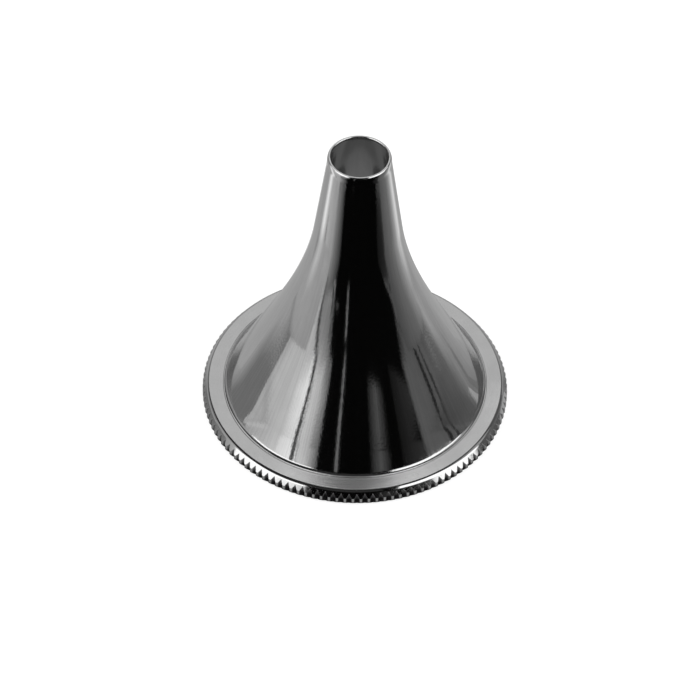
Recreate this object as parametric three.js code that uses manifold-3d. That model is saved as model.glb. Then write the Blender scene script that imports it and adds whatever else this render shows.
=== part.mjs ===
// An ear speculum: a funnel spun from thin sheet, open at both ends, soldered into a turned
// ring whose edge is milled with fine straight teeth for the fingers. Millimetres, +Z up.
// The wide mouth stands on z = 0 and the axis is x = y = 0.
import * as THREE from "three";
import { mergeVertices } from "three/addons/utils/BufferGeometryUtils.js";
import Module from "manifold-3d";

const wasm = await Module();
wasm.setup();

const { degToRad } = THREE.MathUtils;

// Funnel
const OVERALL_LENGTH = 35.9; // from the mouth's underside to the top of the tip
const SHEET_THICKNESS = 0.32;
const TIP_BORE_DIAMETER = 6;
const TIP_TAPER = degToRad(7.8); // of the slender tip, from the axis
const FOOT_FLARE = degToRad(33.7); // of the foot, from the axis, where it enters the rim
const LIP_BEAD = 0.12; // how far the lip's outer corner stands out from the sheet
const LIP_OUTER_DROP = 0.8; // how far the lip's rounding reaches down its outside
const LIP_INNER_DROP = 0.3; // and down its bore
const LIP_INNER_ROUND = 0.085; // how far the bore's rounding reaches over the lip
const THROAT_HEIGHT_SHARE = 0.488; // height of the throat's corner between face and tip
const THROAT_TOP_SHARE = 0.397; // how much of the line to the tip the throat's bend takes
const THROAT_LOW_SHARE = 0.602; // and of the line to the foot's corner
const FOOT_HEIGHT_SHARE = 0.0326; // height of the foot's corner between face and tip
const FLANGE_BEND_RADIUS = 0.6;

// Rim
const RIM_DIAMETER = 34; // over the teeth
const RIM_THICKNESS = 1.85;
const FACE_WIDTH = 1.75; // the flat ring that the fingers press on
const FACE_INNER_BREAK = 0.1; // small chamfer round the face's inner edge
const FACE_OUTER_BREAK = 0.2; // and round its outer edge, measured along face and bevel
const TOP_BEVEL_WIDTH = 0.6;
const TOP_BEVEL_HEIGHT = 0.88;
const UNDER_BEVEL = 0.35;
const UNDER_LAND = 0.35; // the rim's flat ring outside the flange, on the underside
const TOOTH_COUNT = 122;
const TOOTH_DEPTH = 0.34;
const TOOTH_LAND = 0.24; // flat left along each tooth's crest

// Joint between funnel and rim
const JOINT_GAP = 0.05; // that the solder runs into
const SOLDER_WIDTH = 0.22; // from the funnel to the face's inner edge
const SOLDER_CLIMB = 0.32; // how far the fillet runs up the funnel
const SOLDER_GAP = 0.02;

// Making
const ROUND_SEGMENTS = 64;
const THROAT_STEPS = 8;
const FOOT_STEPS = 3;
const FLANGE_STEPS = 4;
const LIP_STEPS = 3;
const FILLET_STEPS = 3;
const CUT_OVERRUN = 1;

const rimRadius = RIM_DIAMETER / 2;
const faceInner = rimRadius - TOP_BEVEL_WIDTH - FACE_WIDTH;
const recessRadius = rimRadius - UNDER_BEVEL - UNDER_LAND;
const flangeRadius = recessRadius - JOINT_GAP;
const footRadius = faceInner - SOLDER_WIDTH;
const tipBoreRadius = TIP_BORE_DIAMETER / 2;
const tipOuterRadius = tipBoreRadius + SHEET_THICKNESS / Math.cos(TIP_TAPER);
const funnelHeight = OVERALL_LENGTH - RIM_THICKNESS;

const point = (r, z) => new THREE.Vector2(r, z);
const line = (from, to) => ({ curve: new THREE.LineCurve(from, to), steps: 1 });
const bend = (from, corner, to, steps) => ({
  curve: new THREE.QuadraticBezierCurve(from, corner, to),
  steps,
});

// The point at a distance from one point towards another.
function towards(from, to, distance) {
  return to.clone().sub(from).setLength(distance).add(from);
}

// Points along a chain of curves that meet smoothly, each moved square to its curve: to the
// left of the way the curves run where the offset is positive.
function alongside(chain, offset) {
  const points = [];
  for (const { curve, steps } of chain) {
    for (let i = points.length ? 1 : 0; i <= steps; i++) {
      const way = curve.getTangent(i / steps);
      const side = point(-way.y, way.x).multiplyScalar(offset);
      points.push(curve.getPoint(i / steps).add(side));
    }
  }
  return points;
}

// Corners of the funnel's outside: straight lines between them, each corner bent round.
const tipCorner = point(tipOuterRadius, OVERALL_LENGTH);
const boreCorner = point(tipBoreRadius, OVERALL_LENGTH);
const throatDepth = funnelHeight * (1 - THROAT_HEIGHT_SHARE);
const throatCorner = point(
  tipOuterRadius + throatDepth * Math.tan(TIP_TAPER),
  OVERALL_LENGTH - throatDepth,
);
const foot = point(footRadius, RIM_THICKNESS);
const footRise = funnelHeight * FOOT_HEIGHT_SHARE;
const footCorner = point(
  footRadius - footRise * Math.tan(FOOT_FLARE),
  RIM_THICKNESS + footRise,
);
const flangeCorner = point(
  footRadius + (RIM_THICKNESS - SHEET_THICKNESS) * Math.tan(FOOT_FLARE),
  SHEET_THICKNESS,
);

// Where each bend starts and ends.
const lipOuter = towards(tipCorner, throatCorner, LIP_OUTER_DROP);
const throatTop = throatCorner.clone().lerp(tipCorner, THROAT_TOP_SHARE);
const throatEnd = throatCorner.clone().lerp(footCorner, THROAT_LOW_SHARE);
const footTop = towards(footCorner, throatCorner, footCorner.distanceTo(foot));
const flangeTurn = Math.PI / 2 - FOOT_FLARE;
const flangeBend = FLANGE_BEND_RADIUS * Math.tan(flangeTurn / 2);
const flangeBendTop = towards(flangeCorner, foot, flangeBend);
const flangeBendEnd = point(flangeCorner.x + flangeBend, flangeCorner.y);

const shell = [
  line(lipOuter, throatTop),
  bend(throatTop, throatCorner, throatEnd, THROAT_STEPS),
  line(throatEnd, footTop),
  bend(footTop, footCorner, foot, FOOT_STEPS),
  line(foot, flangeBendTop),
];
const flangeTurned = bend(flangeBendTop, flangeCorner, flangeBendEnd, FLANGE_STEPS);

// The funnel is one sheet: its inside is its outside moved in by the thickness.
function funnelSection() {
  const flangeEdge = point(flangeRadius, SHEET_THICKNESS);
  const sheet = [...shell, flangeTurned, line(flangeBendEnd, flangeEdge)];
  const beadCorner = point(tipOuterRadius + LIP_BEAD, OVERALL_LENGTH);
  const landInner = point(tipBoreRadius + LIP_INNER_ROUND, OVERALL_LENGTH);
  const taper = throatCorner.clone().sub(tipCorner);
  const lipInner = boreCorner.clone().add(taper.setLength(LIP_INNER_DROP));
  const lip = [
    bend(lipInner, boreCorner, landInner, LIP_STEPS),
    line(landInner, tipCorner),
    bend(tipCorner, beadCorner, lipOuter, LIP_STEPS),
  ];
  const outside = alongside(sheet, 0).slice(1);
  const inside = alongside(sheet, -SHEET_THICKNESS).slice(1).reverse();
  return [...alongside(lip, 0), ...outside, ...inside];
}

// The rim's bore drops straight from the face, then follows the funnel out into the recess
// that takes the flange.
function rimSection() {
  const face = RIM_THICKNESS;
  const faceCorner = point(rimRadius - TOP_BEVEL_WIDTH, face);
  const bevelCorner = point(rimRadius, face - TOP_BEVEL_HEIGHT);
  const seatSlope = Math.tan(FOOT_FLARE);
  const wedge = (SOLDER_WIDTH - JOINT_GAP / Math.cos(FOOT_FLARE)) / seatSlope;
  const recessEdge = point(recessRadius, SHEET_THICKNESS);
  const seat = [flangeTurned, line(flangeBendEnd, recessEdge)];
  return [
    point(faceInner + FACE_INNER_BREAK, face),
    point(faceCorner.x - FACE_OUTER_BREAK, face),
    towards(faceCorner, bevelCorner, FACE_OUTER_BREAK),
    bevelCorner,
    point(rimRadius, UNDER_BEVEL),
    point(rimRadius - UNDER_BEVEL, 0),
    point(recessRadius, 0),
    ...alongside(seat, JOINT_GAP).reverse(),
    point(faceInner, face - wedge),
    point(faceInner, face - FACE_INNER_BREAK),
  ];
}

// The solder fills the wedge between funnel and rim, and ends in a hollow fillet on the funnel.
function solderSection() {
  const outer = faceInner - SOLDER_GAP;
  const inner = footRadius + SOLDER_GAP / Math.cos(FOOT_FLARE);
  const depth = (outer - inner) / Math.tan(FOOT_FLARE);
  const corner = point(inner, RIM_THICKNESS);
  const top = point(
    inner - SOLDER_CLIMB * Math.sin(FOOT_FLARE),
    RIM_THICKNESS + SOLDER_CLIMB * Math.cos(FOOT_FLARE),
  );
  const fillet = bend(top, corner, point(outer, RIM_THICKNESS), FILLET_STEPS);
  return [...alongside([fillet], 0), point(outer, RIM_THICKNESS - depth)];
}

// A closed section, given clockwise, turned round the Z axis.
function turned(section, segments) {
  const closed = [...section, section[0]].reverse();
  return new THREE.LatheGeometry(closed, segments).rotateX(Math.PI / 2);
}

function toSolid(geometry) {
  geometry.deleteAttribute("normal");
  geometry.deleteAttribute("uv");
  const merged = mergeVertices(geometry);
  const vertProperties = merged.attributes.position.array;
  const triVerts = new Uint32Array(merged.index.array);
  return new wasm.Manifold(new wasm.Mesh({ numProp: 3, vertProperties, triVerts }));
}

function toGeometry(solid) {
  const { vertProperties, triVerts } = solid.getMesh();
  const geometry = new THREE.BufferGeometry();
  geometry.setAttribute("position", new THREE.BufferAttribute(vertProperties, 3));
  geometry.setIndex(new THREE.BufferAttribute(triVerts, 1));
  geometry.computeVertexNormals();
  return geometry;
}

// A prism with the teeth's zigzag outline. Its flanks run on past the rim's radius, so that
// the turned blank cuts each crest to its narrow land.
function toothPrism() {
  const pitch = (2 * Math.PI * rimRadius) / TOOTH_COUNT;
  const crestOverrun = (TOOTH_DEPTH * TOOTH_LAND) / (pitch - TOOTH_LAND);
  const radii = [rimRadius + crestOverrun, rimRadius - TOOTH_DEPTH];
  const outline = Array.from({ length: 2 * TOOTH_COUNT }, (_, i) => {
    const angle = (i * Math.PI) / TOOTH_COUNT - Math.PI / 2;
    return point(Math.cos(angle), Math.sin(angle)).multiplyScalar(radii[i % 2]);
  });
  const depth = RIM_THICKNESS + 2 * CUT_OVERRUN;
  const prism = new THREE.ExtrudeGeometry(new THREE.Shape(outline), {
    depth,
    bevelEnabled: false,
  });
  return prism.translate(0, 0, -CUT_OVERRUN);
}

// The blank is turned, then every groove is milled straight through its edge, so the grooves
// run out on both bevels.
function milledRim() {
  const blank = toSolid(turned(rimSection(), TOOTH_COUNT));
  return toGeometry(blank.intersect(toSolid(toothPrism())));
}

const polished = new THREE.MeshStandardMaterial({
  color: 0xdfe1e4,
  metalness: 1,
  roughness: 0.07,
});
const milled = new THREE.MeshStandardMaterial({
  color: 0xd2d4d6,
  metalness: 1,
  roughness: 0.22,
  flatShading: true,
});
const soldered = new THREE.MeshStandardMaterial({
  color: 0xc9cbcc,
  metalness: 1,
  roughness: 0.16,
});

const speculum = new THREE.Group();

function addPiece(name, geometry, material) {
  const mesh = new THREE.Mesh(geometry, material);
  mesh.name = name;
  speculum.add(mesh);
}

addPiece("funnel", turned(funnelSection(), ROUND_SEGMENTS), polished);
addPiece("milled_rim", milledRim(), milled);
addPiece("solder_fillet", turned(solderSection(), ROUND_SEGMENTS), soldered);

export default speculum;
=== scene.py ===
import math
import random

import bpy
from mathutils import Matrix, Vector


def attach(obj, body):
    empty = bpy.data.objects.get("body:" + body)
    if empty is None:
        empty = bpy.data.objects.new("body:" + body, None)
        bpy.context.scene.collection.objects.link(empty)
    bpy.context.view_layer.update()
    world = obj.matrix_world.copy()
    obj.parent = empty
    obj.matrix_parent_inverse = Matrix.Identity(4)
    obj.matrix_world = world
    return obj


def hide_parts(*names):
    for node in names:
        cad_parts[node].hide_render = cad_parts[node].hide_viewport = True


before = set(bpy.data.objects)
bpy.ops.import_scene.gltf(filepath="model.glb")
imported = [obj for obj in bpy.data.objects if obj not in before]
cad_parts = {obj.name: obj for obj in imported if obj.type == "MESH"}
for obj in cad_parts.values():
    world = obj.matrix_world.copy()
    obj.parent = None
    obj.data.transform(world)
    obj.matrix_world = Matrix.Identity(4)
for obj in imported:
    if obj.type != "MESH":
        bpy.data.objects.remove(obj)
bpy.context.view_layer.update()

MM = 0.001

# Funnel
OVERALL_LENGTH = 35.9
SHEET_THICKNESS = 0.32
TIP_BORE_RADIUS = 3.0
TIP_TAPER = math.radians(7.8)
FOOT_FLARE = math.radians(33.7)
LIP_BEAD = 0.12
LIP_OUTER_DROP = 0.8
LIP_OUTER_ROUND = 0.1
LIP_INNER_DROP = 0.4
LIP_INNER_ROUND = 0.17
THROAT_HEIGHT_SHARE = 0.488
THROAT_TOP_SHARE = 0.397
THROAT_LOW_SHARE = 0.602
FOOT_HEIGHT_SHARE = 0.0326
FLANGE_BEND_RADIUS = 0.6

# Rim
RIM_RADIUS = 17.0
RIM_THICKNESS = 1.85
FACE_WIDTH = 1.75
FACE_INNER_BREAK = 0.1
FACE_OUTER_BREAK = 0.2
BEVEL_BREAK = 0.37
TOP_BEVEL_WIDTH = 0.6
TOP_BEVEL_HEIGHT = 0.88
UNDER_BEVEL = 0.35
UNDER_LAND = 0.35
TOOTH_COUNT = 122
TOOTH_DEPTH = 0.34
TOOTH_DEPTH_SHARES = (0.9, 1.04)
TOOTH_SEED = 7
CREST_RADIUS = 16.99
FACE_MARGIN = 0.03

# Joint
JOINT_GAP = 0.05
SOLDER_WIDTH = 0.22
SOLDER_CLIMB = 0.32
SOLDER_GAP = 0.006

# Fineness of the meshes
FUNNEL_SEGMENTS = 288
SOLDER_SEGMENTS = 288
ROW_STEP = 0.3
BEND_STEPS = 24
SMALL_BEND_STEPS = 10
FACE_BREAK_STEPS = 4
BEVEL_BREAK_STEPS = 6
SHARP_ANGLE = math.radians(35)
TOOTH_SHARP_ANGLE = math.radians(28)

# Camera. The axis at AIM_HEIGHT lands on AIM_PIXEL of the 700 x 700 frame. Clips in metres.
FRAME_SIDE = 700
CAMERA_DISTANCE = 408.0
CAMERA_ELEVATION = math.radians(46.198)
CAMERA_ROLL = math.radians(1.079)
FOCAL_PIXELS = 3651.06
SENSOR_WIDTH = 36.0
AIM_PIXEL = (354.845, 388.975)
AIM_HEIGHT = 0.35
CLIP_START = 0.01
CLIP_END = 20

# Materials. Tones and roughnesses are (least, most), and bumps are in metres.
NOISE_LOW = 0.3
NOISE_HIGH = 0.7
POLISHED_TONES = (0.71, 0.75)
WIPE_TONES = (0.94, 1.05)
POLISHED_ROUGHNESS = (0.05, 0.085)
RING_BUMP = 0.4e-6
STREAK_BUMP = 0.8e-6
GRAIN_BUMP = 3.0e-6
MILLED_TONES = (0.70, 0.74)
BEVEL_ROUGHNESS = 0.09
SATIN_ROUGHNESS = (0.14, 0.26)
SATIN_BUMP = 8.0e-6
SATIN_DEPTH = 0.01
# Painted shade in the grooves of the milled edge: the radii and depths where it starts and is
# full, and how much it darkens the colour.
GROOVE_SHADE_RADII = (16.84, 16.96)
GROOVE_SHADE_DEPTHS = (0.03, 0.15)
GROOVE_SHADE_STRENGTH = 0.62
SOLDER_TONES = (0.66, 0.74)
SOLDER_ROUGHNESS = (0.09, 0.16)
PIT_BUMP = 4.0e-6

# Studio
WHITE = (1, 1, 1, 1)
FLOOR_COLOR = (0.3, 0.3, 0.3, 1)
FLOOR_HALF_SIDE = 3000.0
FLOOR_GLOW = 0.8
WORLD_LIGHT = 0.5
WORLD_GLOW = 1.0
LAMP_SIZE = 700
LAMP_POWER = 8
LEFT_LAMP_PLACE = (-900, -300, 900)
RIGHT_LAMP_PLACE = (900, -300, 900)
MAX_BOUNCES = 16
GLOSSY_BOUNCES = 12

face_inner = RIM_RADIUS - TOP_BEVEL_WIDTH - FACE_WIDTH
face_outer = RIM_RADIUS - TOP_BEVEL_WIDTH
bevel_slope = TOP_BEVEL_HEIGHT / TOP_BEVEL_WIDTH
foot_radius = face_inner - SOLDER_WIDTH
recess_radius = RIM_RADIUS - UNDER_BEVEL - UNDER_LAND
flange_radius = recess_radius - JOINT_GAP
tip_outer_radius = TIP_BORE_RADIUS + SHEET_THICKNESS / math.cos(TIP_TAPER)
funnel_height = OVERALL_LENGTH - RIM_THICKNESS


# Outlines. A point is (radius, height).

def towards(start, end, distance):
    way = (end - start).normalized()
    return start + way * distance


def straight(start, end):
    steps = max(1, round((end - start).length / ROW_STEP))
    way = (end - start).normalized()
    return [(start.lerp(end, i / steps), way) for i in range(steps + 1)]


def bend(start, corner, end, steps):
    rows = []
    for i in range(steps + 1):
        t = i / steps
        place = start.lerp(corner, t).lerp(corner.lerp(end, t), t)
        way = (corner - start).lerp(end - corner, t).normalized()
        rows.append((place, way))
    return rows


# Joins stretches that meet smoothly and moves each point square to its stretch.
def outline(stretches, offset=0.0):
    rows = list(stretches[0])
    for stretch in stretches[1:]:
        rows += stretch[1:]
    return [place + Vector((-way.y, way.x)) * offset for place, way in rows]


tip_corner = Vector((tip_outer_radius, OVERALL_LENGTH))
bore_corner = Vector((TIP_BORE_RADIUS, OVERALL_LENGTH))
throat_depth = funnel_height * (1 - THROAT_HEIGHT_SHARE)
throat_corner = tip_corner + Vector((throat_depth * math.tan(TIP_TAPER), -throat_depth))
foot = Vector((foot_radius, RIM_THICKNESS))
foot_rise = funnel_height * FOOT_HEIGHT_SHARE
foot_corner = foot + Vector((-foot_rise * math.tan(FOOT_FLARE), foot_rise))
flange_drop = RIM_THICKNESS - SHEET_THICKNESS
flange_corner = foot + Vector((flange_drop * math.tan(FOOT_FLARE), -flange_drop))

lip_outer = towards(tip_corner, throat_corner, LIP_OUTER_DROP)
throat_top = throat_corner.lerp(tip_corner, THROAT_TOP_SHARE)
throat_end = throat_corner.lerp(foot_corner, THROAT_LOW_SHARE)
foot_top = towards(foot_corner, throat_corner, (foot - foot_corner).length)
flange_bend = FLANGE_BEND_RADIUS * math.tan((math.pi / 2 - FOOT_FLARE) / 2)
flange_bend_top = towards(flange_corner, foot, flange_bend)
flange_bend_end = flange_corner + Vector((flange_bend, 0))
flange_turned = bend(flange_bend_top, flange_corner, flange_bend_end, SMALL_BEND_STEPS)


# The funnel is one sheet: its inside is its outside moved in by the thickness.
def funnel_outline():
    sheet = [
        straight(lip_outer, throat_top),
        bend(throat_top, throat_corner, throat_end, 2 * BEND_STEPS),
        straight(throat_end, foot_top),
        bend(foot_top, foot_corner, foot, BEND_STEPS),
        straight(foot, flange_bend_top),
        flange_turned,
        straight(flange_bend_end, Vector((flange_radius, SHEET_THICKNESS))),
    ]
    lip_inner = towards(bore_corner, bore_corner + throat_corner - tip_corner, LIP_INNER_DROP)
    land_inner = bore_corner + Vector((LIP_INNER_ROUND, 0))
    land_outer = tip_corner - Vector((LIP_OUTER_ROUND, 0))
    bead_corner = tip_corner + Vector((LIP_BEAD, 0))
    lip = [
        bend(lip_inner, bore_corner, land_inner, BEND_STEPS),
        straight(land_inner, land_outer),
        bend(land_outer, bead_corner, lip_outer, BEND_STEPS),
    ]
    outside = outline(sheet)[1:]
    inside = outline(sheet, -SHEET_THICKNESS)[1:]
    inside.reverse()
    return outline(lip) + outside + inside


def solder_outline():
    outer = face_inner - SOLDER_GAP
    inner = foot_radius + SOLDER_GAP / math.cos(FOOT_FLARE)
    depth = (outer - inner) / math.tan(FOOT_FLARE)
    corner = Vector((inner, RIM_THICKNESS))
    top = corner + SOLDER_CLIMB * Vector((-math.sin(FOOT_FLARE), math.cos(FOOT_FLARE)))
    fillet = bend(top, corner, Vector((outer, RIM_THICKNESS)), SMALL_BEND_STEPS)
    return outline([fillet]) + [Vector((outer, RIM_THICKNESS - depth))]


# Meshes

def around(angle, radius, height):
    return Vector((radius * math.sin(angle), -radius * math.cos(angle), height)) * MM


def add_mesh(name, verts, faces, sharp_angle=SHARP_ANGLE):
    mesh = bpy.data.meshes.new(name)
    mesh.from_pydata(verts, [], faces)
    mesh.shade_smooth()
    mesh.set_sharp_from_angle(angle=sharp_angle)
    mesh.update()
    piece = bpy.data.objects.new(name, mesh)
    bpy.context.scene.collection.objects.link(piece)
    return piece


# Joins rings of points, each ring one column of the closed outline, into a closed skin.
def ring_faces(columns, rows):
    faces = []
    for i in range(columns):
        here = i * rows
        there = ((i + 1) % columns) * rows
        for j in range(rows):
            k = (j + 1) % rows
            faces.append((here + j, here + k, there + k, there + j))
    return faces


def turned(name, section, segments):
    verts = []
    for i in range(segments):
        angle = 2 * math.pi * i / segments
        verts += [around(angle, p.x, p.y) for p in section]
    return add_mesh(name, verts, ring_faces(segments, len(section)))


# One tooth from its valley to the middle of its land: (share of the pitch, share of the
# height). The land's edge is slightly rounded.
HALF_TOOTH = [
    (0.0, 0.0), (0.025, 0.03), (0.18, 0.48), (0.34, 0.94), (0.363, 0.982), (0.39, 1.0), (0.5, 1.0),
]
TOOTH = HALF_TOOTH + [(1 - share, rise) for share, rise in HALF_TOOTH[-2:0:-1]]


# The rim's upper face with its two softened edges, from the bore to the top of the bevel.
def face_outline():
    inner_corner = Vector((face_inner, RIM_THICKNESS))
    outer_corner = Vector((face_outer, RIM_THICKNESS))
    bevel_way = Vector((1, -bevel_slope)).normalized()
    break_start = inner_corner - Vector((0, FACE_INNER_BREAK))
    flat_start = inner_corner + Vector((FACE_INNER_BREAK, 0))
    flat_end = outer_corner - Vector((FACE_OUTER_BREAK, 0))
    bevel_start = outer_corner + bevel_way * BEVEL_BREAK
    margin = Vector((FACE_MARGIN, 0))
    return outline([
        bend(break_start, inner_corner, flat_start, FACE_BREAK_STEPS),
        straight(flat_start, flat_start + margin),
        straight(flat_start + margin, flat_end - margin),
        straight(flat_end - margin, flat_end),
        bend(flat_end, outer_corner, bevel_start, BEVEL_BREAK_STEPS),
        straight(bevel_start, bevel_start + bevel_way * FACE_MARGIN),
    ])


# The recess that takes the funnel's flange, from its edge in to the bore.
def seat_outline():
    wedge = (SOLDER_WIDTH - JOINT_GAP / math.cos(FOOT_FLARE)) / math.tan(FOOT_FLARE)
    recess_edge = Vector((recess_radius, SHEET_THICKNESS))
    seat = outline([flange_turned, straight(flange_bend_end, recess_edge)], JOINT_GAP)
    seat.reverse()
    return seat + [Vector((face_inner, RIM_THICKNESS - wedge))]


# The rim's closed outline where its milled edge stands at this radius.
def rim_column(edge):
    bevel_end = RIM_THICKNESS - (edge - face_outer) * bevel_slope
    low_end = max(0.0, UNDER_BEVEL - (RIM_RADIUS - edge))
    edge_points = [
        Vector((edge, bevel_end)),
        Vector((edge, low_end)),
        Vector((RIM_RADIUS - UNDER_BEVEL, 0.0)),
        Vector((recess_radius, 0.0)),
    ]
    return face_outline() + edge_points + seat_outline()


def milled_ring(name):
    rng = random.Random(TOOTH_SEED)
    depths = [TOOTH_DEPTH * rng.uniform(*TOOTH_DEPTH_SHARES) for _ in range(TOOTH_COUNT)]
    verts = []
    for tooth in range(TOOTH_COUNT):
        for share, rise in TOOTH:
            depth = depths[tooth] if share < 0.5 else depths[(tooth + 1) % TOOTH_COUNT]
            angle = 2 * math.pi * (tooth + share - 0.5) / TOOTH_COUNT
            column = rim_column(CREST_RADIUS - depth * (1 - rise))
            verts += [around(angle, p.x, p.y) for p in column]
    faces = ring_faces(TOOTH_COUNT * len(TOOTH), len(column))
    return add_mesh(name, verts, faces, TOOTH_SHARP_ANGLE)


# Materials

class Nodes:
    def __init__(self, material):
        material.use_nodes = True
        self.tree = material.node_tree
        self.tree.nodes.clear()

    def add(self, kind, values=None, **settings):
        node = self.tree.nodes.new("ShaderNode" + kind)
        for key, value in settings.items():
            setattr(node, key, value)
        for key, value in (values or {}).items():
            if isinstance(value, bpy.types.NodeSocket):
                self.tree.links.new(value, node.inputs[key])
            else:
                node.inputs[key].default_value = value
        return node

    def math(self, operation, a, b=0.0):
        node = self.add("Math", {0: a, 1: b}, operation=operation)
        return node.outputs[0]

    def mix(self, share, low, high):
        gap = self.math("SUBTRACT", high, low)
        return self.math("ADD", self.math("MULTIPLY", gap, share), low)

    def place(self):
        return self.add("SeparateXYZ", {0: self.add("TexCoord").outputs["Object"]}).outputs

    def radius_and_height(self):
        parts = self.place()
        square = self.math("ADD", self.math("MULTIPLY", parts[0], parts[0]),
                           self.math("MULTIPLY", parts[1], parts[1]))
        return self.math("SQRT", square), parts[2]

    # Place on a piece as (round the axis, round the axis, outwards or up), each stretched.
    def polar(self, round_scale, radius_scale=0.0, height_scale=0.0):
        parts = self.place()
        radius, height = self.radius_and_height()
        across = self.math("MULTIPLY", self.math("DIVIDE", parts[0], radius), round_scale)
        along = self.math("MULTIPLY", self.math("DIVIDE", parts[1], radius), round_scale)
        depth = self.math("ADD", self.math("MULTIPLY", radius, radius_scale),
                          self.math("MULTIPLY", height, height_scale))
        return self.add("CombineXYZ", {0: across, 1: along, 2: depth}).outputs[0]

    def noise(self, place, detail):
        node = self.add("TexNoise", {"Vector": place, "Scale": 1.0, "Detail": detail})
        return node.outputs["Fac"]

    def spread(self, value, low, high, to_low, to_high):
        node = self.add("MapRange", {"Value": value, "From Min": low, "From Max": high,
                                     "To Min": to_low, "To Max": to_high}, clamp=True)
        return node.outputs["Result"]

    def between(self, noise, limits):
        return self.spread(noise, NOISE_LOW, NOISE_HIGH, *limits)

    def grey(self, value):
        node = self.add("CombineColor", {0: value, 1: value, 2: value})
        return node.outputs[0]

    def bump(self, height, distance, normal=None):
        values = {"Height": height, "Distance": distance}
        if normal is not None:
            values["Normal"] = normal
        return self.add("Bump", values).outputs["Normal"]

    def metal(self, color, roughness, normal):
        shader = self.add("BsdfPrincipled", {"Base Color": color, "Metallic": 1.0,
                                             "Roughness": roughness, "Normal": normal})
        self.add("OutputMaterial", {"Surface": shader.outputs[0]})


def polished_chrome():
    material = bpy.data.materials.new("polished_chrome")
    n = Nodes(material)
    rings = n.noise(n.polar(round_scale=3.0, height_scale=9000.0), detail=3.0)
    streaks = n.noise(n.polar(round_scale=110.0, height_scale=90.0), detail=3.0)
    grain = n.noise(n.polar(round_scale=45.0, height_scale=3500.0), detail=2.0)
    haze = n.noise(n.polar(round_scale=9.0, height_scale=500.0), detail=4.0)
    wipes = n.noise(n.polar(round_scale=70.0, height_scale=60.0), detail=4.0)
    clean = n.between(haze, POLISHED_TONES)
    color = n.grey(n.math("MULTIPLY", clean, n.between(wipes, WIPE_TONES)))
    roughness = n.between(streaks, POLISHED_ROUGHNESS)
    normal = n.bump(rings, RING_BUMP)
    normal = n.bump(streaks, STREAK_BUMP, normal)
    normal = n.bump(grain, GRAIN_BUMP, normal)
    n.metal(color, roughness, normal)
    return material


# How far a point of the rim is in a groove: below the bevel and inside the crests. This masks the
# painted shade in the grooves.
def groove_share(n, radius, height):
    crest_low, crest_high = GROOVE_SHADE_RADII
    below_crest = n.spread(radius, crest_low * MM, crest_high * MM, 1.0, 0.0)
    past_face = n.math("MAXIMUM", n.math("SUBTRACT", radius, face_outer * MM), 0.0)
    bevel_height = n.math("ADD", n.math("MULTIPLY", past_face, -bevel_slope), RIM_THICKNESS * MM)
    under_bevel = n.math("SUBTRACT", bevel_height, height)
    shallow, deep = GROOVE_SHADE_DEPTHS
    in_groove = n.spread(under_bevel, shallow * MM, deep * MM, 0.0, 1.0)
    return n.math("MULTIPLY", in_groove, below_crest)


# The face is lapped to a satin finish and the bevel is polished. The grooves get painted shade:
# their colour is darkened where shade falls in them.
def milled_chrome():
    material = bpy.data.materials.new("milled_chrome")
    n = Nodes(material)
    radius, height = n.radius_and_height()
    lines = n.noise(n.polar(round_scale=2.5, radius_scale=14000.0), detail=3.0)
    haze = n.noise(n.polar(round_scale=9.0, radius_scale=500.0, height_scale=500.0), detail=4.0)
    face_height = (RIM_THICKNESS - SATIN_DEPTH) * MM
    on_face = n.spread(height, face_height - SATIN_DEPTH * MM, face_height, 0.0, 1.0)
    # Painted shade: the colour is darkened in the grooves.
    painted_groove_shade = n.math("MULTIPLY", groove_share(n, radius, height), GROOVE_SHADE_STRENGTH)
    clean = n.between(haze, MILLED_TONES)
    color = n.grey(n.math("MULTIPLY", clean, n.math("SUBTRACT", 1.0, painted_groove_shade)))
    roughness = n.mix(on_face, BEVEL_ROUGHNESS, n.between(lines, SATIN_ROUGHNESS))
    normal = n.bump(n.math("MULTIPLY", lines, on_face), SATIN_BUMP)
    n.metal(color, roughness, normal)
    return material


def soldered_chrome():
    material = bpy.data.materials.new("soldered_chrome")
    n = Nodes(material)
    pits = n.noise(n.polar(round_scale=60.0, radius_scale=3000.0, height_scale=3000.0), detail=3.0)
    color = n.grey(n.between(pits, SOLDER_TONES))
    roughness = n.between(pits, SOLDER_ROUGHNESS)
    normal = n.bump(pits, PIT_BUMP)
    n.metal(color, roughness, normal)
    return material


def dress(piece, material, node):
    piece.data.materials.append(material)
    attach(piece, "root")
    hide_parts(node)


# Studio cards. Only reflections see them. They stand where a photographer's black cloth, grey
# cards and softboxes stand: on the floor round the object, and up a dome from the floor's far
# edge. A card on a higher layer lies in front of the ones below it. Angles are in degrees.
CARD_LIFT = 0.05
DOME_RADIUS = 300.0
LAYER_STEP = 0.05
DOME_LAYER_STEP = 1.5
CARD_STEP_ANGLE = 3.0
CARD_FLOOR_STEP = 10.0
TIP_CARD_RADIUS = 20.0

BLACK = 0.0015
LINE = 0.025
CEILING = 0.03
GREY = 0.38
PALE = 0.57
SOFTBOX = 1.5


def floor(reach):
    return Vector((reach, 0))


# A place on the dome, as its angle above the floor's far edge.
def sky(elevation):
    return Vector((DOME_RADIUS, elevation))


def cove_point(angle, place, layer):
    if place.x < DOME_RADIUS:
        return around(angle, place.x, CARD_LIFT + layer * LAYER_STEP)
    rise = math.radians(place.y)
    radius = DOME_RADIUS - layer * DOME_LAYER_STEP
    return around(angle, radius * math.cos(rise), CARD_LIFT + radius * math.sin(rise))


# A place on a card that stands close round the tip, where only the tip mirrors it.
def tip_side(height):
    return Vector((TIP_CARD_RADIUS, height))


def standing_point(angle, place, _layer):
    return around(angle, place.x, place.y)


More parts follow.
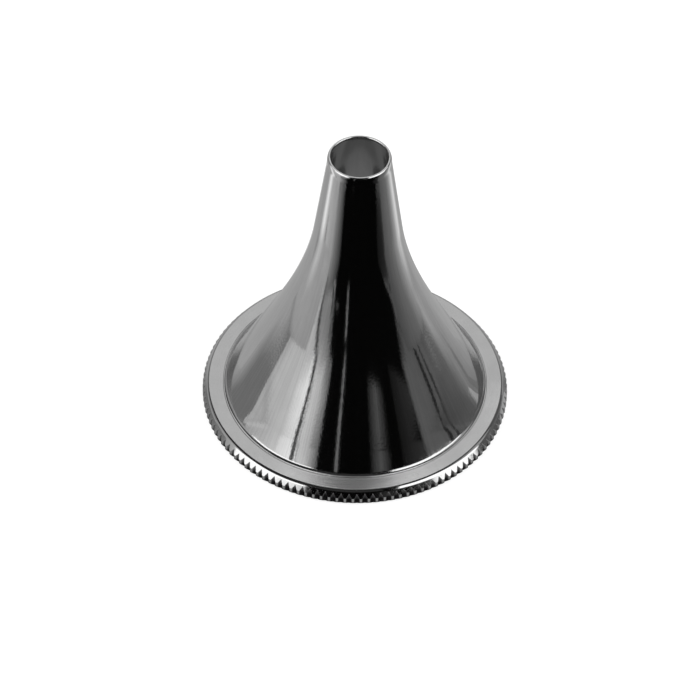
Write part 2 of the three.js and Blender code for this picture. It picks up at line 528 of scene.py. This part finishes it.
def glow_material():
    material = bpy.data.materials.new("studio_glow")
    n = Nodes(material)
    level = n.add("Attribute", attribute_name="glow").outputs["Fac"]
    shader = n.add("Emission", {"Color": WHITE, "Strength": level})
    n.add("OutputMaterial", {"Surface": shader.outputs[0]})
    return material


GLOW = glow_material()


# A card's rows run outwards along the floor and up the dome: each is (place, left angle,
# right angle, light), and light is one strength or one for each side edge.
def card_rows(rows):
    fine = []
    for low, high in zip(rows, rows[1:]):
        way = high[0] - low[0]
        steps = math.ceil(max(way.x / CARD_FLOOR_STEP, way.y / CARD_STEP_ANGLE))
        fine += [(low, high, i / steps) for i in range(steps)]
    return fine + [(rows[-1], rows[-1], 0)]


def side_lights(light):
    return Vector(light if isinstance(light, tuple) else (light, light))


# A row between two given ones: (place, left angle, right angle, light at both sides).
def row_between(low, high, share):
    place = low[0].lerp(high[0], share)
    left = low[1] + (high[1] - low[1]) * share
    right = low[2] + (high[2] - low[2]) * share
    light = side_lights(low[3]).lerp(side_lights(high[3]), share)
    return place, left, right, light


def grid_faces(rows, columns):
    faces = []
    for j in range(rows - 1):
        for i in range(columns):
            a = j * (columns + 1) + i
            faces.append((a, a + 1, a + columns + 2, a + columns + 1))
    return faces


def add_card(name, layer, rows, point=cove_point):
    widest = max(right - left for _, left, right, _ in rows)
    columns = math.ceil(widest / CARD_STEP_ANGLE)
    fine = card_rows(rows)
    verts = []
    glow = []
    for low, high, share in fine:
        place, left, right, light = row_between(low, high, share)
        for i in range(columns + 1):
            across = i / columns
            angle = math.radians(left + (right - left) * across)
            verts.append(point(angle, place, layer))
            glow.append(light.x + (light.y - light.x) * across)
    card = add_mesh(name, verts, grid_faces(len(fine), columns))
    attribute = card.data.attributes.new("glow", "FLOAT", "POINT")
    attribute.data.foreach_set("value", glow)
    card.data.materials.append(GLOW)
    card.visible_camera = False
    card.visible_diffuse = False
    card.visible_shadow = False


def add_tip_card(name, rows):
    add_card(name, 0, rows, standing_point)


# The room all round, the shade on the floor close to the rim and inside the mouth, the wall
# behind the object and the dark ceiling.
def add_room_cards():
    add_card("room", 0, [
        (floor(17.9), -180, 180, 0.3), (floor(20), -180, 180, 0.42), (floor(60), -180, 180, GREY),
        (sky(0), -180, 180, GREY), (sky(75), -180, 180, GREY),
    ])
    add_card("rim_shade", 0, [
        (floor(16.2), -180, 180, LINE), (floor(17.1), -180, 180, LINE),
        (floor(17.5), -180, 180, 0.3), (floor(17.9), -180, 180, 0.3),
    ])
    add_card("mouth_shade", 0, [(floor(0.1), -180, 180, 0.06), (floor(16.2), -180, 180, 0.06)])
    add_card("mouth_front", 1, [
        (floor(0.1), -58, 58, 0.1), (floor(6), -58, 58, 0.1), (floor(9), -60, 60, 0.14),
        (floor(16.2), -60, 60, 0.14),
    ])
    add_card("back_shade", 1, [(sky(10), 106, 254, (0.1, 0.22)), (sky(60), 104, 256, (0.1, 0.22))])
    add_card("back_wall", 4, [
        (sky(28), 150, 210, PALE), (sky(56), 140, 220, PALE), (sky(62), 138, 222, 0.8),
        (sky(73), 138, 222, 0.8),
    ])
    add_card("ceiling", 3, [(sky(44), -140, 140, CEILING), (sky(72), -150, 150, CEILING)])
    add_card("ceiling_left", 3, [(sky(27), -140, 20, CEILING), (sky(44), -140, 20, CEILING)])
    add_card("ceiling_top", 3, [(sky(72), -180, 180, 0.2), (sky(89.5), -180, 180, 0.2)])


def add_camera_side_cards():
    add_card("camera_side", 1, [
        (floor(24), -40, 47, BLACK), (floor(52), -40, 47, BLACK), (floor(58), -41, 51, BLACK),
        (floor(66), -42, 57, BLACK), (floor(80), -40, 64, BLACK), (floor(100), -38, 61, BLACK),
        (floor(150), -35.8, 58, BLACK), (floor(250), -34.6, 58.5, BLACK),
        (sky(1), -34.6, 58.5, BLACK), (sky(3.5), -28.5, 57, BLACK), (sky(15), -28, 57, BLACK),
        (sky(18), -31, 39, BLACK), (sky(62), -36, 36, BLACK),
    ])
    add_card("right_haze", 2, [
        (sky(2.5), 39, 56, (0.008, 0.03)), (sky(15), 39, 56, (0.008, 0.035)),
    ])
    add_card("low_gap", 2, [
        (floor(68), -17.3, -15.4, 0.012), (floor(78), -17.1, -15.1, 0.14),
        (floor(100), -16.7, -14.6, 0.17), (floor(150), -15.9, -13.8, 0.2),
        (floor(250), -15.5, -13.5, 0.2), (sky(0.6), -15.3, -13.3, 0.05),
    ])
    add_card("high_gap", 2, [
        (sky(2), -14.7, -12.4, 0.04), (sky(4), -14.4, -12.2, 0.17), (sky(17), -14.1, -11.9, 0.17),
    ])
    add_card("cloth_edge", 2, [
        (floor(72), -42.2, -40.6, 0.05), (floor(80), -41.8, -39.6, 0.1),
        (floor(100), -40.2, -37.6, 0.1), (floor(150), -40, -35.8, 0.11),
        (floor(250), -38.5, -35, 0.11),
    ])
    add_card("cloth_fleck", 2, [(floor(93), -36.5, -34, 0.1), (floor(104), -32.5, -29.5, 0.1)])
    add_card("far_panel_left", 2, [
        (sky(6), 13, 21, (0.004, 0.09)), (sky(18), 13, 21, (0.004, 0.09)),
    ])
    add_card("far_panel_right", 2, [
        (sky(6), 21, 29.5, (0.09, 0.004)), (sky(18), 21, 29.5, (0.09, 0.004)),
    ])


# The far floor and the dome on the left
def add_far_left_cards():
    add_card("left_soft", 1, [
        (floor(66), -60, -46, (0.18, 0.06)), (floor(80), -59, -43, (0.25, 0.28)),
        (floor(100), -57, -42.5, (0.3, 0.22)), (floor(150), -54, -35.8, (0.33, 0.17)),
        (floor(250), -50, -34.6, (0.42, 0.17)), (sky(1), -48.5, -34.6, (0.46, 0.15)),
        (sky(4), -45, -36, (0.72, 0.5)), (sky(17), -44, -36, (0.75, 0.58)),
    ])
    add_card("left_edge", 1, [
        (sky(1), -36, -34.6, (0.2, 0.15)), (sky(4), -36, -28, (0.3, 0.1)),
        (sky(7), -36, -28, (0.5, 0.1)), (sky(17), -36, -28, (0.5, 0.1)),
    ])
    add_card("left_line", 2, [
        (floor(60), -62, -58, 0.17), (floor(80), -61.6, -58.4, 0.11),
        (floor(100), -59.4, -56.6, LINE), (floor(150), -55.8, -52.6, LINE),
        (floor(250), -52.8, -50, LINE), (sky(1), -51, -48.2, LINE), (sky(3.2), -49.8, -46.9, 0.03),
        (sky(10), -49.6, -46.5, 0.06), (sky(17), -49.4, -46.2, 0.1),
    ])
    add_card("left_crease", 2, [
        (floor(68), -46, -43.4, 0.04), (floor(80), -44.4, -42, 0.02),
        (floor(100), -42.6, -40.4, 0.05), (floor(118), -41.6, -40.2, 0.12),
    ])
    add_card("left_white", 1, [
        (floor(100), -62, -58, 0.5), (floor(150), -62, -55, (0.54, 0.54)),
        (floor(250), -62, -51, (0.58, 0.56)), (sky(1), -62, -49, (0.64, 0.8)),
        (sky(3), -62, -46.5, (0.78, 1.08)), (sky(17), -62, -45, (0.85, 1.1)),
    ])
    add_card("left_grey", 1, [
        (floor(66), -98, -62, (0.42, 0.42)), (floor(80), -98, -62, (0.54, 0.53)),
        (floor(100), -100, -62, (0.6, 0.57)), (floor(150), -100, -62, (0.6, 0.58)),
        (floor(250), -100, -62, (0.52, 0.6)), (sky(1), -100, -62, (0.36, 0.64)),
        (sky(17), -100, -62, (0.36, 0.74)),
    ])


# The floor close to the rim, on the left and behind
def add_near_left_cards():
    add_card("near_left_light", 1, [
        (floor(36), -84, -62, (0.5, 0.34)), (floor(45), -86, -62, (0.52, 0.36)),
        (floor(52), -88, -62, (0.54, 0.38)), (floor(60), -90, -62, (0.48, 0.38)),
        (floor(66), -91, -62, (0.42, 0.38)),
    ])
    add_card("near_left_dim", 1, [
        (floor(24), -62, -54, (0.3, 0.18)), (floor(52), -62, -54, (0.3, 0.18)),
        (floor(66), -62, -54, 0.2),
    ])
    add_card("near_left_fade", 1, [
        (floor(24), -54, -40, (0.18, 0.02)), (floor(52), -54, -40, (0.18, 0.025)),
        (floor(58), -54, -41, (0.18, 0.025)), (floor(66), -54, -42, (0.17, 0.015)),
    ])
    add_card("near_left_dark", 2, [
        (floor(18), -93, -84, 0.2), (floor(20), -94.5, -84, 0.22), (floor(22), -96, -84, 0.19),
        (floor(26), -99, -83.5, 0.19), (floor(31), -103, -83, 0.19), (floor(37), -106, -83, 0.19),
        (floor(42), -104, -84.5, 0.19), (floor(49), -100.5, -87, 0.19),
        (floor(57), -96, -88.7, 0.19), (floor(66), -92.5, -89.7, 0.2),
        (floor(75), -90.6, -90.2, 0.25),
    ])
    add_card("near_left_slope", 2, [
        (floor(18), -110, -93, (0.36, 0.22)), (floor(20), -108, -94.5, (0.4, 0.24)),
        (floor(22), -106, -96, (0.38, 0.19)), (floor(26), -111, -99, (0.38, 0.19)),
        (floor(31), -116, -103, (0.38, 0.19)), (floor(37), -118, -106, (0.38, 0.19)),
        (floor(42), -112, -104, (0.4, 0.19)), (floor(49), -105.5, -100.5, (0.4, 0.19)),
        (floor(57), -99.5, -96, (0.4, 0.19)), (floor(66), -94.5, -92.5, (0.38, 0.2)),
        (floor(75), -91.5, -90.6, (0.38, 0.25)),
    ])
    add_card("far_left_dark", 2, [
        (floor(76), -98, -91, 0.2), (floor(120), -99, -91, 0.2), (floor(250), -101, -91, 0.2),
        (sky(4), -104, -92, 0.2),
    ])
    add_card("near_back", 1, [
        (floor(19), 152, 208, (0.36, 0.6)), (floor(60), 152, 208, (0.36, 0.95)),
    ])


def add_left_tip_cards():
    add_tip_card("throat_left", [
        (tip_side(10.4), -105, -83, 0.25), (tip_side(11.2), -105, -83, 0.41),
        (tip_side(12.6), -105, -83, 0.42),
    ])
    add_tip_card("throat_left_front", [
        (tip_side(10.6), -83, -81, 0.3), (tip_side(11.3), -83, -70, (0.41, 0.37)),
        (tip_side(12.2), -83, -55, (0.42, 0.36)), (tip_side(15.6), -83, -58, (0.42, 0.36)),
    ])
    add_tip_card("tip_left_rise", [
        (tip_side(12.6), -105, -95, 0.42), (tip_side(14.6), -105, -95, (0.43, 0.74)),
        (tip_side(17), -105, -95, (0.44, 1.1)), (tip_side(34), -107, -97, (0.44, 1.1)),
    ])
    add_tip_card("tip_left_fall", [
        (tip_side(12.6), -95, -83, 0.42), (tip_side(14.6), -95, -83, (0.74, 0.42)),
        (tip_side(17), -95, -83, (1.1, 0.42)), (tip_side(34), -97, -83, (1.1, 0.42)),
    ])
    add_tip_card("tip_high_left", [
        (tip_side(42), -105, -35, SOFTBOX), (tip_side(80), -105, -35, SOFTBOX),
    ])
    add_tip_card("tip_high_back", [
        (tip_side(38.5), 150, 210, 1.1), (tip_side(48), 150, 210, 1.1),
    ])


def add_left_softbox():
    add_card("left_softbox", 3, [
        (sky(5), -82, -80, SOFTBOX), (sky(8), -82.5, -71.5, SOFTBOX),
        (sky(11), -83, -61.5, SOFTBOX), (sky(13.5), -83, -51, SOFTBOX),
        (sky(16), -82, -40, SOFTBOX), (sky(17.5), -80, -31, SOFTBOX), (sky(26), -71, -31, SOFTBOX),
    ])


# The far floor and the dome on the right
def add_far_right_cards():
    add_card("right_dim", 1, [
        (floor(60), 58, 94, (0.08, 0.14)), (floor(66), 57, 94, (0.08, 0.13)),
        (floor(80), 62, 92, (0.085, 0.13)), (floor(100), 61, 92, (0.08, 0.12)),
        (floor(150), 58, 94, (0.11, 0.1)), (floor(250), 58.5, 98, (0.12, 0.1)),
        (sky(1), 58.5, 98, (0.12, 0.1)), (sky(12), 56, 98, 0.1),
    ])
    add_card("right_fade", 2, [
        (floor(110), 60, 66, (0.015, 0.09)), (floor(150), 58, 65, (0.015, 0.1)),
        (floor(250), 56.6, 61, (0.012, 0.12)), (sky(1), 56.4, 59.4, (0.012, 0.12)),
        (sky(3.5), 56, 59.4, (0.012, 0.12)), (sky(12), 56, 59, (0.012, 0.1)),
    ])
    add_card("right_far", 1, [
        (floor(66), 94, 125, (0.3, 0.4)), (floor(80), 92, 125, 0.3), (floor(100), 92, 125, 0.13),
        (floor(150), 94, 125, 0.12), (floor(250), 98, 125, 0.12), (sky(17), 98, 125, 0.12),
    ])
    add_card("right_line", 3, [
        (floor(66), 72.4, 74, 0.05), (floor(75), 73.2, 75.2, 0.025), (floor(90), 74.6, 77, 0.015),
        (floor(105), 75, 78.4, 0.012), (floor(150), 76.4, 79.8, 0.015),
        (floor(250), 78.5, 82, 0.02), (sky(6), 79, 82.5, 0.02),
    ])
    add_card("right_second_line", 3, [
        (floor(46), 76.4, 77.8, 0.06), (floor(54), 77.4, 79, 0.045),
        (floor(75), 80.4, 82.4, 0.035), (floor(104), 82.4, 84.6, 0.03),
        (floor(250), 86, 88.2, 0.03), (sky(4), 86, 88.2, 0.03),
    ])
    add_card("right_cross_line", 3, [
        (floor(95), 60.5, 74.4, 0.02), (floor(100), 60.5, 74.6, 0.02),
    ])
    add_card("right_upper_line", 3, [(floor(63), 62, 70, 0.02), (floor(66.5), 61, 70, 0.02)])


# The floor close to the rim, on the right
def add_near_right_cards():
    add_card("near_right_dark", 1, [
        (floor(24), 47, 62, (0.008, 0.02)), (floor(52), 47, 62, (0.01, 0.02)),
        (floor(58), 51, 62, (0.01, 0.03)), (floor(64), 56, 62, (0.02, 0.06)),
    ])
    add_card("near_right_edge", 1, [
        (floor(24), 62, 72, (0.02, 0.09)), (floor(60), 62, 72, (0.03, 0.085)),
    ])
    add_card("near_right", 2, [
        (floor(24), 72, 91, (0.055, 0.105)), (floor(30), 72, 93, (0.055, 0.11)),
        (floor(37), 72, 97, (0.055, 0.12)), (floor(44), 72, 101, (0.055, 0.135)),
        (floor(49), 72, 102.5, (0.055, 0.14)), (floor(56), 72, 98, (0.055, 0.125)),
        (floor(62), 72, 94, (0.06, 0.115)), (floor(75), 74, 90, (0.075, 0.11)),
    ])
    add_card("near_right_turn", 2, [
        (floor(24), 91, 98.5, (0.105, 0.24)), (floor(30), 93, 105, (0.11, 0.26)),
        (floor(37), 97, 111, (0.12, 0.3)), (floor(44), 101, 109, (0.135, 0.36)),
        (floor(49), 102.5, 107, (0.14, 0.4)), (floor(56), 98, 102, (0.125, 0.38)),
        (floor(62), 94, 97, (0.115, 0.38)), (floor(75), 90, 91.5, (0.11, 0.35)),
    ])
    add_card("rim_right", 1, [
        (floor(18), 95, 125, (0.2, 0.36)), (floor(20), 96, 124, (0.2, 0.4)),
        (floor(24), 98.5, 124, (0.22, 0.38)), (floor(30), 105, 130, (0.26, 0.4)),
        (floor(37), 111, 134, (0.3, 0.4)), (floor(44), 108, 134, 0.4), (floor(66), 96, 134, 0.4),
    ])
    add_card("rim_right_streak", 2, [
        (floor(19), 97, 102, (0.17, 0.22)), (floor(23), 100.5, 104, 0.19),
        (floor(27), 106, 110, 0.19), (floor(31), 109.5, 114, 0.2), (floor(35), 114, 117, 0.27),
        (floor(37), 116, 118, 0.34),
    ])


def add_right_tip_cards():
    add_tip_card("throat_right_front", [
        (tip_side(10.8), 76, 84, (0.12, 0.16)), (tip_side(12), 58, 84, (0.08, 0.17)),
        (tip_side(16), 60, 84, (0.08, 0.17)),
    ])
    add_tip_card("throat_right", [
        (tip_side(10.4), 84, 100, (0.16, 0.3)), (tip_side(11.2), 84, 100, (0.17, 0.36)),
        (tip_side(14.6), 84, 100, (0.17, 0.36)),
    ])
    add_tip_card("tip_right_low", [
        (tip_side(14.6), 84, 100, (0.17, 0.36)), (tip_side(16.5), 84, 100, (0.14, 0.36)),
        (tip_side(34), 84, 102, (0.16, 0.36)),
    ])
    add_tip_card("tip_right_front", [
        (tip_side(16), 62, 84, (0.1, 0.17)), (tip_side(34), 63.5, 84, (0.11, 0.18)),
    ])
    add_tip_card("tip_right_rise", [
        (tip_side(11.2), 100, 117, (0.36, 0.42)), (tip_side(13), 100, 116, (0.36, 0.85)),
        (tip_side(16.5), 100, 117, (0.36, 0.9)), (tip_side(34), 102, 119, (0.36, 0.85)),
    ])
    add_tip_card("tip_right_fall", [
        (tip_side(11.2), 117, 127, 0.42), (tip_side(13), 116, 127, (0.85, 0.45)),
        (tip_side(16.5), 117, 127, (0.9, 0.46)), (tip_side(34), 119, 130, (0.85, 0.46)),
    ])
    add_tip_card("tip_high_right", [
        (tip_side(42), 35, 105, SOFTBOX), (tip_side(80), 35, 105, SOFTBOX),
    ])


def add_right_softbox():
    add_card("right_softbox", 3, [
        (sky(4.4), 81, 88, SOFTBOX), (sky(7.6), 70.5, 89, SOFTBOX), (sky(10.6), 60.5, 89, SOFTBOX),
        (sky(13.3), 53, 88, SOFTBOX), (sky(16), 50, 86, SOFTBOX), (sky(19), 42, 84, SOFTBOX),
        (sky(20.5), 30, 80, SOFTBOX), (sky(25), 30, 76, SOFTBOX), (sky(44), 34, 62, SOFTBOX),
    ])


# White to the camera and in reflections, plain light for everything else.
def seen_or_mirrored(n):
    path = n.add("LightPath").outputs
    seen = n.math("MAXIMUM", path["Is Camera Ray"], path["Is Glossy Ray"])
    return n.math("MAXIMUM", seen, path["Is Transmission Ray"])


def add_floor():
    half = FLOOR_HALF_SIDE * MM
    verts = [(-half, -half, 0), (half, -half, 0), (half, half, 0), (-half, half, 0)]
    plane = add_mesh("floor", [Vector(v) for v in verts], [(0, 1, 2, 3)])
    material = bpy.data.materials.new("pale_floor")
    n = Nodes(material)
    lit = n.add("BsdfDiffuse", {"Color": FLOOR_COLOR})
    strength = n.math("MULTIPLY", seen_or_mirrored(n), FLOOR_GLOW)
    white = n.add("Emission", {"Color": WHITE, "Strength": strength})
    both = n.add("AddShader", {0: lit.outputs[0], 1: white.outputs[0]})
    n.add("OutputMaterial", {"Surface": both.outputs[0]})
    plane.data.materials.append(material)


def add_world():
    world = bpy.data.worlds.new("studio")
    bpy.context.scene.world = world
    n = Nodes(world)
    strength = n.spread(seen_or_mirrored(n), 0.0, 1.0, WORLD_LIGHT, WORLD_GLOW)
    background = n.add("Background", {"Color": WHITE, "Strength": strength})
    n.add("OutputWorld", {"Surface": background.outputs[0]})


def add_lamp(name, place):
    data = bpy.data.lights.new(name, "AREA")
    data.shape = "SQUARE"
    data.size = LAMP_SIZE * MM
    data.energy = LAMP_POWER
    lamp = bpy.data.objects.new(name, data)
    bpy.context.scene.collection.objects.link(lamp)
    lamp.location = Vector(place) * MM
    lamp.rotation_mode = "QUATERNION"
    lamp.rotation_quaternion = (-lamp.location).to_track_quat("-Z", "Y")
    lamp.visible_camera = False
    lamp.visible_glossy = False


def add_camera():
    data = bpy.data.cameras.new("camera")
    data.sensor_width = SENSOR_WIDTH
    data.lens = SENSOR_WIDTH * FOCAL_PIXELS / FRAME_SIDE
    data.clip_start = CLIP_START
    data.clip_end = CLIP_END
    camera = bpy.data.objects.new("camera", data)
    bpy.context.scene.collection.objects.link(camera)
    sin_e = math.sin(CAMERA_ELEVATION)
    cos_e = math.cos(CAMERA_ELEVATION)
    forward = Vector((0, cos_e, -sin_e))
    level = Vector((1, 0, 0))
    up = Vector((0, sin_e, cos_e))
    right = level * math.cos(CAMERA_ROLL) + up * math.sin(CAMERA_ROLL)
    over = up * math.cos(CAMERA_ROLL) - level * math.sin(CAMERA_ROLL)
    aim = Vector((0, 0, AIM_HEIGHT))
    half = FRAME_SIDE / 2
    across = (AIM_PIXEL[0] - half) / FOCAL_PIXELS * CAMERA_DISTANCE
    down = (AIM_PIXEL[1] - half) / FOCAL_PIXELS * CAMERA_DISTANCE
    place = aim - right * across + over * down - forward * CAMERA_DISTANCE
    turn = Matrix((right, over, -forward)).transposed().to_4x4()
    camera.matrix_world = Matrix.Translation(place * MM) @ turn
    bpy.context.scene.camera = camera


funnel = turned("funnel_shell", funnel_outline(), FUNNEL_SEGMENTS)
dress(funnel, polished_chrome(), "funnel")
rim = milled_ring("milled_ring")
dress(rim, milled_chrome(), "milled_rim")
solder = turned("solder_ring", solder_outline(), SOLDER_SEGMENTS)
dress(solder, soldered_chrome(), "solder_fillet")

add_floor()
add_world()
add_room_cards()
add_camera_side_cards()
add_far_left_cards()
add_near_left_cards()
add_left_tip_cards()
add_left_softbox()
add_far_right_cards()
add_near_right_cards()
add_right_tip_cards()
add_right_softbox()
add_lamp("left_lamp", LEFT_LAMP_PLACE)
add_lamp("right_lamp", RIGHT_LAMP_PLACE)
add_camera()

scene = bpy.context.scene
scene.view_settings.view_transform = "Standard"
scene.cycles.max_bounces = MAX_BOUNCES
scene.cycles.glossy_bounces = GLOSSY_BOUNCES
